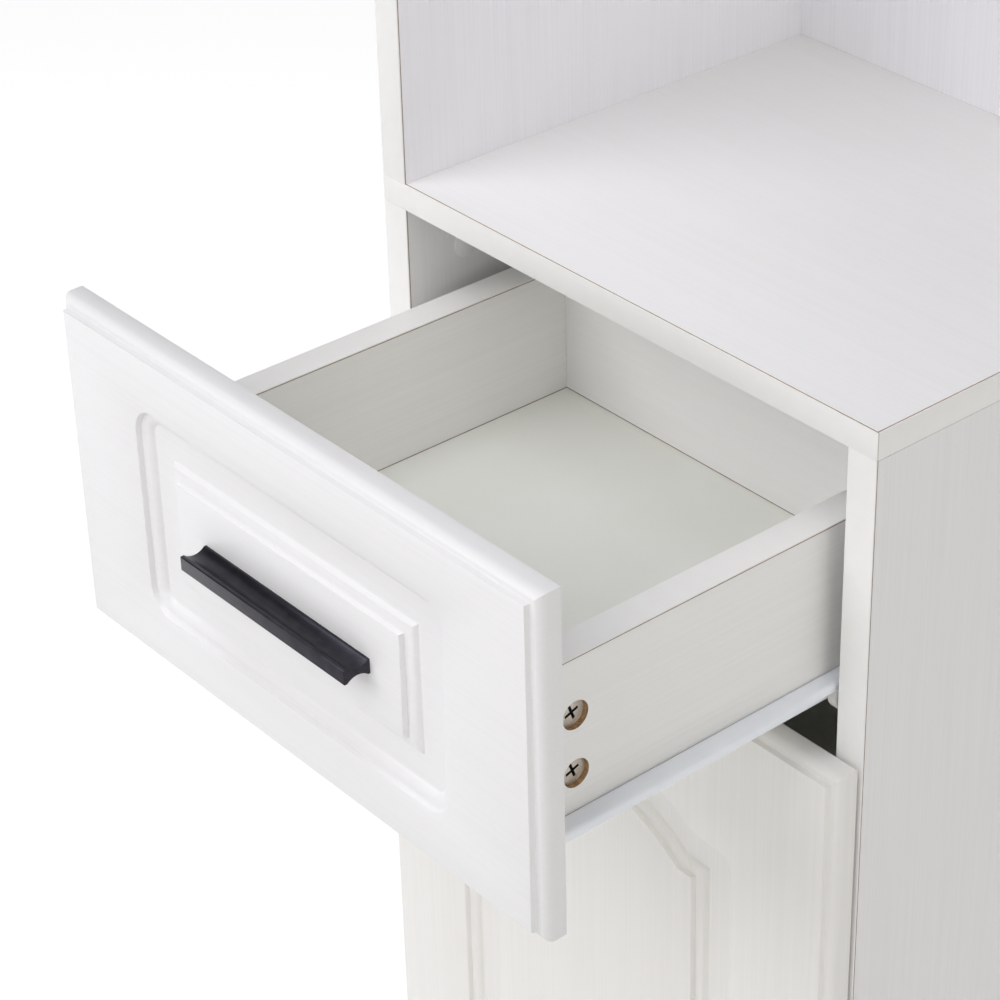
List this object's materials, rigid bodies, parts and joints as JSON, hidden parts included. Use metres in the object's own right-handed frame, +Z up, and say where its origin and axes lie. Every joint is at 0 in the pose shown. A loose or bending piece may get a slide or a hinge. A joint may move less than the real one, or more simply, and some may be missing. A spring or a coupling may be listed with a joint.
{
  "type": "corner bathroom cabinet",
  "caption": "Tall corner bathroom cabinet with open shelves above, a raised-panel drawer on roller slides and a cupboard behind an arched raised-panel door.",
  "frame": {"origin": "centre of the footprint on the floor, with the drawer open as in the picture", "axes": "+X to the right as seen from the front, +Y back to the wall, +Z up"},
  "size_m": [0.36, 0.523, 1.575],
  "materials": {
    "woodgrain_board": "white woodgrain melamine, satin",
    "thin_board": "white lacquered hardboard, matt",
    "drawer_board": "white woodgrain melamine, satin",
    "front_foil": "white woodgrain foil over routed fibreboard, satin",
    "beech": "bare planed beech",
    "zinc": "die-cast zinc, dull",
    "plated_screw": "zinc-plated steel",
    "nickel_steel": "nickel-plated steel, satin",
    "handle_black": "black anodised aluminium, satin",
    "slide_white": "white powder coat",
    "roller_nylon": "white nylon",
    "glide_plastic": "white polythene",
    "bumper_plastic": "clear soft plastic"
  },
  "bodies": {
    "cabinet": {"lower_side_right": "woodgrain_board", "lower_side_left": "woodgrain_board", "middle_board": "woodgrain_board", "bottom_board": "woodgrain_board", "plinth": "woodgrain_board", "cupboard_shelf": "woodgrain_board", "upper_side": "woodgrain_board", "upper_back": "woodgrain_board", "upper_shelf": "woodgrain_board", "top_board": "woodgrain_board", "lower_back": "thin_board", "plinth_blocks": "beech", "dowels": "beech", "shelf_pins": "nickel_steel", "floor_glides": "glide_plastic", "carcass_cams": "zinc", "board_screws": "plated_screw", "carcass_cam_bolts": "plated_screw", "hinge_plate_screws": "plated_screw", "channel_screws": "plated_screw", "hinge_plate_lower": "nickel_steel", "hinge_plate_upper": "nickel_steel", "hinge_arm_lower": "nickel_steel", "hinge_arm_upper": "nickel_steel", "front_roller_axles": "nickel_steel", "channel_member_right": "slide_white", "channel_member_left": "slide_white"},
    "drawer": {"drawer_front": "front_foil", "drawer_side_right": "drawer_board", "drawer_side_left": "drawer_board", "drawer_back": "drawer_board", "drawer_floor": "thin_board", "drawer_cams": "zinc", "drawer_cam_bolts": "plated_screw", "drawer_back_screws": "plated_screw", "drawer_handle": "handle_black", "drawer_handle_screws": "plated_screw", "drawer_bumpers": "bumper_plastic", "drawer_member_right": "slide_white", "drawer_member_left": "slide_white", "rear_roller_axles": "nickel_steel", "drawer_member_screws": "plated_screw"},
    "door": {"door_leaf": "front_foil", "door_handle": "handle_black", "door_handle_screws": "plated_screw", "hinge_cup_lower": "nickel_steel", "hinge_cup_upper": "nickel_steel", "hinge_cup_screws": "plated_screw", "door_bumpers": "bumper_plastic"},
    "front_roller_right": {"front_roller_right": "roller_nylon"},
    "front_roller_left": {"front_roller_left": "roller_nylon"},
    "rear_roller_right": {"rear_roller_right": "roller_nylon"},
    "rear_roller_left": {"rear_roller_left": "roller_nylon"}
  },
  "joints": [
    {"name": "drawer_slide", "type": "slide", "parent": "cabinet", "child": "drawer", "axis": [0, -1, 0], "range_m": [-0.185, 0.005]},
    {"name": "door_hinge", "type": "hinge", "parent": "cabinet", "child": "door", "pos_m": [0.18, -0.0615, 0.37], "axis": [0, 0, 1], "range_deg": [0, 105]},
    {"name": "front_roller_right_turn", "type": "hinge", "parent": "cabinet", "child": "front_roller_right", "pos_m": [0.155, -0.0305, 0.7001], "axis": [1, 0, 0], "range_deg": [-1030, 35]},
    {"name": "rear_roller_right_turn", "type": "hinge", "parent": "drawer", "child": "rear_roller_right", "pos_m": [0.155, 0.0075, 0.697], "axis": [1, 0, 0], "range_deg": [-1275, 42]},
    {"name": "front_roller_left_turn", "type": "hinge", "parent": "cabinet", "child": "front_roller_left", "pos_m": [-0.155, -0.0305, 0.7001], "axis": [1, 0, 0], "range_deg": [-1030, 35]},
    {"name": "rear_roller_left_turn", "type": "hinge", "parent": "drawer", "child": "rear_roller_left", "pos_m": [-0.155, 0.0075, 0.697], "axis": [1, 0, 0], "range_deg": [-1275, 42]}
  ],
  "couplings": [
    {"joint": "front_roller_right_turn", "follows": "drawer_slide", "rad_per_m": 96.154},
    {"joint": "rear_roller_right_turn", "follows": "drawer_slide", "rad_per_m": 119.05},
    {"joint": "front_roller_left_turn", "follows": "drawer_slide", "rad_per_m": 96.154},
    {"joint": "rear_roller_left_turn", "follows": "drawer_slide", "rad_per_m": 119.05}
  ]
}
